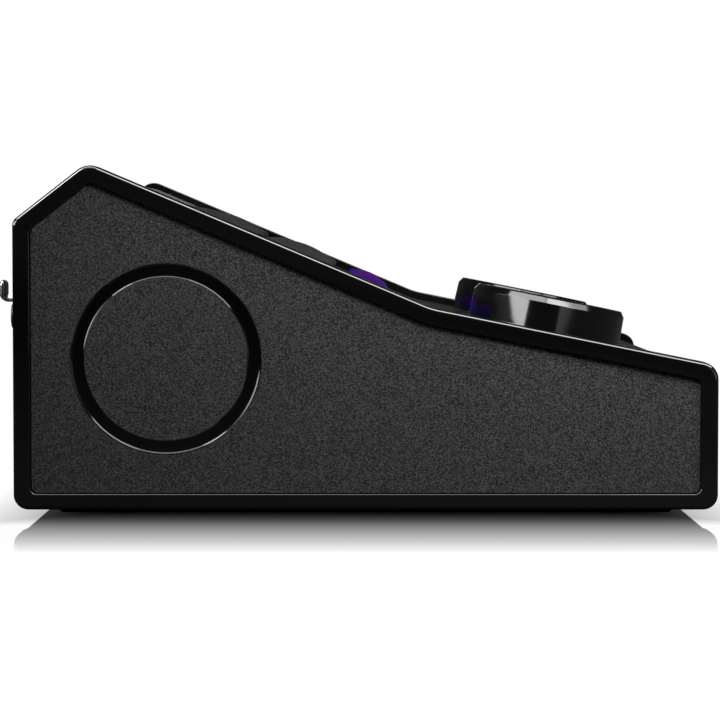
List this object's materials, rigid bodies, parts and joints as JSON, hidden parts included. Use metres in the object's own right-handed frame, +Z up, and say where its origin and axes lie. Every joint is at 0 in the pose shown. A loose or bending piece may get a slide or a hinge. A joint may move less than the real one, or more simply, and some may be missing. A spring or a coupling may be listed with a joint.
{
  "type": "usb audio interface",
  "caption": "Black wedge-shaped desktop audio interface with large gloss knobs, soft keys, a lit button row and rear microphone, line and data sockets.",
  "frame": {"origin": "middle of the base at the level of the feet, half way between the front edge and the end of the release tabs", "axes": "+X to the user's right, +Y to the rear, +Z up"},
  "size_m": [0.2, 0.1708, 0.0829],
  "materials": {
    "gloss_black": "piano black moulding",
    "stippled_grey": "fine stippled moulding",
    "ring_black": "polished inlay",
    "panel_black": "satin moulding",
    "metal_black": "fine black powder coat",
    "foot_rubber": "matt",
    "screw_steel": "plated",
    "screw_black": "black oxide",
    "board_green": "solder mask",
    "standoff_brass": "turned",
    "switch_black": "moulded",
    "lens_smoke": "smoked, polished",
    "lamp_white": "diffusing",
    "pot_metal": "plated",
    "knob_gloss": "polished black",
    "shaft_steel": "turned",
    "key_soft": "soft-touch coating",
    "button_lit": "translucent, lit from below",
    "socket_black": "moulded",
    "latch_steel": "stamped",
    "nut_black": "black nickel",
    "ribbon_grey": "flexible flat ribbon",
    "header_white": "moulded"
  },
  "bodies": {
    "chassis": {"left_cheek": "gloss_black", "right_cheek": "gloss_black", "left_side_panel": "stippled_grey", "right_side_panel": "stippled_grey", "left_ring": "ring_black", "right_ring": "ring_black", "top_panel": "panel_black", "front_panel": "panel_black", "rear_panel": "metal_black", "bottom_pan": "metal_black", "feet": "foot_rubber", "cheek_screws": "screw_steel", "board_screws": "screw_steel", "control_board_screws": "screw_steel", "rear_panel_screws": "screw_black", "combo_screws": "screw_black", "main_board": "board_green", "key_board": "board_green", "knob_board": "board_green", "board_standoffs": "standoff_brass", "key_switches": "switch_black", "button_switches": "switch_black", "meter_lens": "lens_smoke", "meter_lamps": "lamp_white", "left_pot": "pot_metal", "right_pot": "pot_metal", "pot_nuts": "pot_metal", "outer_combo_shell": "socket_black", "inner_combo_shell": "socket_black", "outer_combo_core": "socket_black", "inner_combo_core": "socket_black", "left_line_jack": "socket_black", "right_line_jack": "socket_black", "instrument_jack": "socket_black", "phones_jack": "socket_black", "usb_tongue": "socket_black", "usb_shell": "latch_steel", "jack_nuts": "nut_black", "ribbon_cables": "ribbon_grey", "ribbon_sockets": "header_white"},
    "left_knob": {"left_knob": "knob_gloss", "left_knob_shaft": "shaft_steel"},
    "right_knob": {"right_knob": "knob_gloss", "right_knob_shaft": "shaft_steel"},
    "key_1": {"key_1": "key_soft"},
    "key_2": {"key_2": "key_soft"},
    "key_3": {"key_3": "key_soft"},
    "key_4": {"key_4": "key_soft"},
    "key_5": {"key_5": "key_soft"},
    "key_6": {"key_6": "key_soft"},
    "key_7": {"key_7": "key_soft"},
    "key_8": {"key_8": "key_soft"},
    "lit_button_1": {"lit_button_1": "button_lit"},
    "lit_button_2": {"lit_button_2": "button_lit"},
    "lit_button_3": {"lit_button_3": "button_lit"},
    "lit_button_4": {"lit_button_4": "button_lit"},
    "outer_latch": {"outer_latch": "latch_steel"},
    "inner_latch": {"inner_latch": "latch_steel"}
  },
  "joints": [
    {"name": "left_knob_turn", "type": "hinge", "parent": "chassis", "child": "left_knob", "pos_m": [-0.0524, -0.04732, 0.04171], "axis": [0, -0.197, 0.9804], "range_deg": [-150, 150]},
    {"name": "right_knob_turn", "type": "hinge", "parent": "chassis", "child": "right_knob", "pos_m": [0.0524, -0.04732, 0.04171], "axis": [0, -0.197, 0.9804], "range_deg": [-150, 150]},
    {"name": "key_1_press", "type": "slide", "parent": "chassis", "child": "key_1", "axis": [0, 0.388, -0.9217], "range_m": [0, 0.0012], "stiffness_N_per_m": 800, "springref_m": -0.0005},
    {"name": "key_2_press", "type": "slide", "parent": "chassis", "child": "key_2", "axis": [0, 0.388, -0.9217], "range_m": [0, 0.0012], "stiffness_N_per_m": 800, "springref_m": -0.0005},
    {"name": "key_3_press", "type": "slide", "parent": "chassis", "child": "key_3", "axis": [0, 0.388, -0.9217], "range_m": [0, 0.0012], "stiffness_N_per_m": 800, "springref_m": -0.0005},
    {"name": "key_4_press", "type": "slide", "parent": "chassis", "child": "key_4", "axis": [0, 0.388, -0.9217], "range_m": [0, 0.0012], "stiffness_N_per_m": 800, "springref_m": -0.0005},
    {"name": "key_5_press", "type": "slide", "parent": "chassis", "child": "key_5", "axis": [0, 0.388, -0.9217], "range_m": [0, 0.0012], "stiffness_N_per_m": 800, "springref_m": -0.0005},
    {"name": "key_6_press", "type": "slide", "parent": "chassis", "child": "key_6", "axis": [0, 0.388, -0.9217], "range_m": [0, 0.0012], "stiffness_N_per_m": 800, "springref_m": -0.0005},
    {"name": "key_7_press", "type": "slide", "parent": "chassis", "child": "key_7", "axis": [0, 0.388, -0.9217], "range_m": [0, 0.0012], "stiffness_N_per_m": 800, "springref_m": -0.0005},
    {"name": "key_8_press", "type": "slide", "parent": "chassis", "child": "key_8", "axis": [0, 0.388, -0.9217], "range_m": [0, 0.0012], "stiffness_N_per_m": 800, "springref_m": -0.0005},
    {"name": "lit_button_1_press", "type": "slide", "parent": "chassis", "child": "lit_button_1", "axis": [0, 0.388, -0.9217], "range_m": [0, 0.0012], "stiffness_N_per_m": 800, "springref_m": -0.0005},
    {"name": "lit_button_2_press", "type": "slide", "parent": "chassis", "child": "lit_button_2", "axis": [0, 0.388, -0.9217], "range_m": [0, 0.0012], "stiffness_N_per_m": 800, "springref_m": -0.0005},
    {"name": "lit_button_3_press", "type": "slide", "parent": "chassis", "child": "lit_button_3", "axis": [0, 0.388, -0.9217], "range_m": [0, 0.0012], "stiffness_N_per_m": 800, "springref_m": -0.0005},
    {"name": "lit_button_4_press", "type": "slide", "parent": "chassis", "child": "lit_button_4", "axis": [0, 0.388, -0.9217], "range_m": [0, 0.0012], "stiffness_N_per_m": 800, "springref_m": -0.0005},
    {"name": "outer_latch_push", "type": "slide", "parent": "chassis", "child": "outer_latch", "axis": [0, -1, 0], "range_m": [0, 0.002], "stiffness_N_per_m": 900, "springref_m": -0.0005},
    {"name": "inner_latch_push", "type": "slide", "parent": "chassis", "child": "inner_latch", "axis": [0, -1, 0], "range_m": [0, 0.002], "stiffness_N_per_m": 900, "springref_m": -0.0005}
  ]
}
